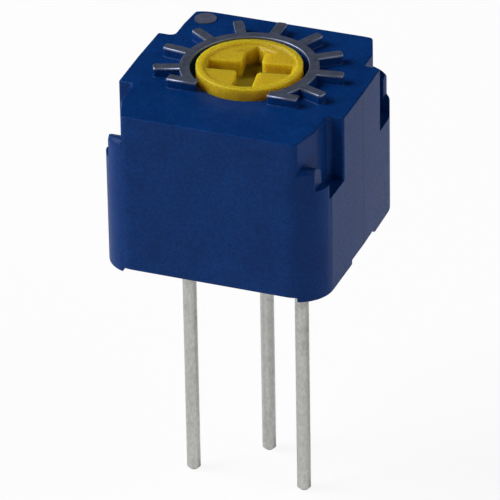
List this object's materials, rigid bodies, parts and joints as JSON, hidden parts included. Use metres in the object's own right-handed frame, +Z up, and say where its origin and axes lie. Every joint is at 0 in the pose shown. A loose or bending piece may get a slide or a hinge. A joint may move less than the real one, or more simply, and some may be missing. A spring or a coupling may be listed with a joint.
{
  "type": "trimmer potentiometer",
  "caption": "Square top-adjust trimmer potentiometer: blue moulded housing with notched corners, yellow slotted rotor with an arrow, raised tick scale and straight round pins below.",
  "frame": {"origin": "middle of the housing's footprint, in the seat plane of its feet on the circuit board", "axes": "+Z up out of the rotor's face, away from the board; -Y the front, which the open side of the scale faces; +X to the right as seen from the front"},
  "size_m": [0.01, 0.0098, 0.0199],
  "materials": {
    "housing_plastic": "smooth moulded",
    "scale_print": "stamped foil",
    "spot_print": "printed",
    "rotor_plastic": "smooth moulded",
    "seal_rubber": "matt",
    "spring_metal": "bright",
    "alumina": "matt",
    "track_cermet": "matt",
    "conductor_silver": "printed",
    "pin_tin": "tinned",
    "solder_tin": "dull",
    "resin": "cast"
  },
  "bodies": {
    "case": {"housing": "housing_plastic", "scale_foil": "scale_print", "marker_spot": "spot_print", "substrate": "alumina", "resistive_track": "track_cermet", "left_conductor": "conductor_silver", "collector": "conductor_silver", "right_conductor": "conductor_silver", "left_pin": "pin_tin", "centre_pin": "pin_tin", "right_pin": "pin_tin", "left_solder": "solder_tin", "centre_solder": "solder_tin", "right_solder": "solder_tin", "epoxy_seal": "resin"},
    "turning": {"rotor": "rotor_plastic", "ring_seal": "seal_rubber", "wiper": "spring_metal"}
  },
  "joints": [
    {"name": "rotor_turn", "type": "hinge", "parent": "case", "child": "turning", "pos_m": [0, 0.00018, 0.006], "axis": [0, 0, 1], "range_deg": [-147, 128]}
  ]
}
